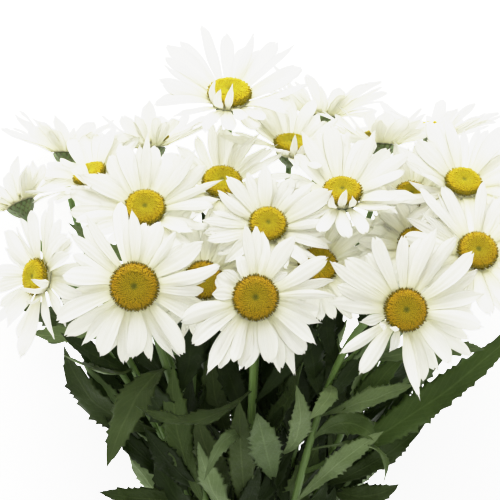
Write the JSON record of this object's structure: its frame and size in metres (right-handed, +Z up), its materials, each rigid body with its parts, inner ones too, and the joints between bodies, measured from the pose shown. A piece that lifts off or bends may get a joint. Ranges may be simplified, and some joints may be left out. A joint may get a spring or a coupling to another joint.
{
  "type": "bunch of daisies",
  "caption": "Tied bunch of large white daisies with domed yellow discs, toothed green leaves and cut stems, laid on its back.",
  "frame": {"origin": "on the surface that the bunch lies on, under the middle of the tie", "axes": "+Y along the stems from the tie to the heads, +Z up, the side of the bunch that is looked at facing +Z, +X to the right as seen from above with the heads at the top"},
  "size_m": [0.3469, 0.489, 0.1664],
  "materials": {
    "petal": "matt",
    "disc": "matt",
    "green": "satin",
    "tie": "matt"
  },
  "bodies": {
    "root": {"disc_back_a": "disc", "disc_back_b": "disc", "disc_back_c": "disc", "disc_back_d": "disc", "disc_centre": "disc", "disc_far_left": "disc", "disc_front_left": "disc", "disc_front_mid": "disc", "disc_front_right": "disc", "disc_left_c": "disc", "disc_left_low": "disc", "disc_left_mid": "disc", "disc_left_up": "disc", "disc_mid_a": "disc", "disc_mid_b": "disc", "disc_mid_c": "disc", "disc_right_c": "disc", "disc_right_low": "disc", "disc_right_mid": "disc", "disc_right_up": "disc", "disc_top": "disc", "disc_up_c": "disc", "disc_up_d": "disc", "petals_back_a": "petal", "petals_back_b": "petal", "petals_back_c": "petal", "petals_back_d": "petal", "petals_centre": "petal", "petals_far_left": "petal", "petals_front_left": "petal", "petals_front_mid": "petal", "petals_front_right": "petal", "petals_left_c": "petal", "petals_left_low": "petal", "petals_left_mid": "petal", "petals_left_up": "petal", "petals_mid_a": "petal", "petals_mid_b": "petal", "petals_mid_c": "petal", "petals_right_c": "petal", "petals_right_low": "petal", "petals_right_mid": "petal", "petals_right_up": "petal", "petals_top": "petal", "petals_up_c": "petal", "petals_up_d": "petal", "stem_back_b": "green", "stem_centre": "green", "stem_far_left": "green", "stem_front_left": "green", "stem_front_mid": "green", "stem_front_right": "green", "stem_left_low": "green", "stem_left_mid": "green", "stem_mid_b": "green", "stem_right_mid": "green", "stem_right_up": "green", "stem_top": "green", "stem_up_c": "green", "tie": "tie"}
  },
  "joints": []
}
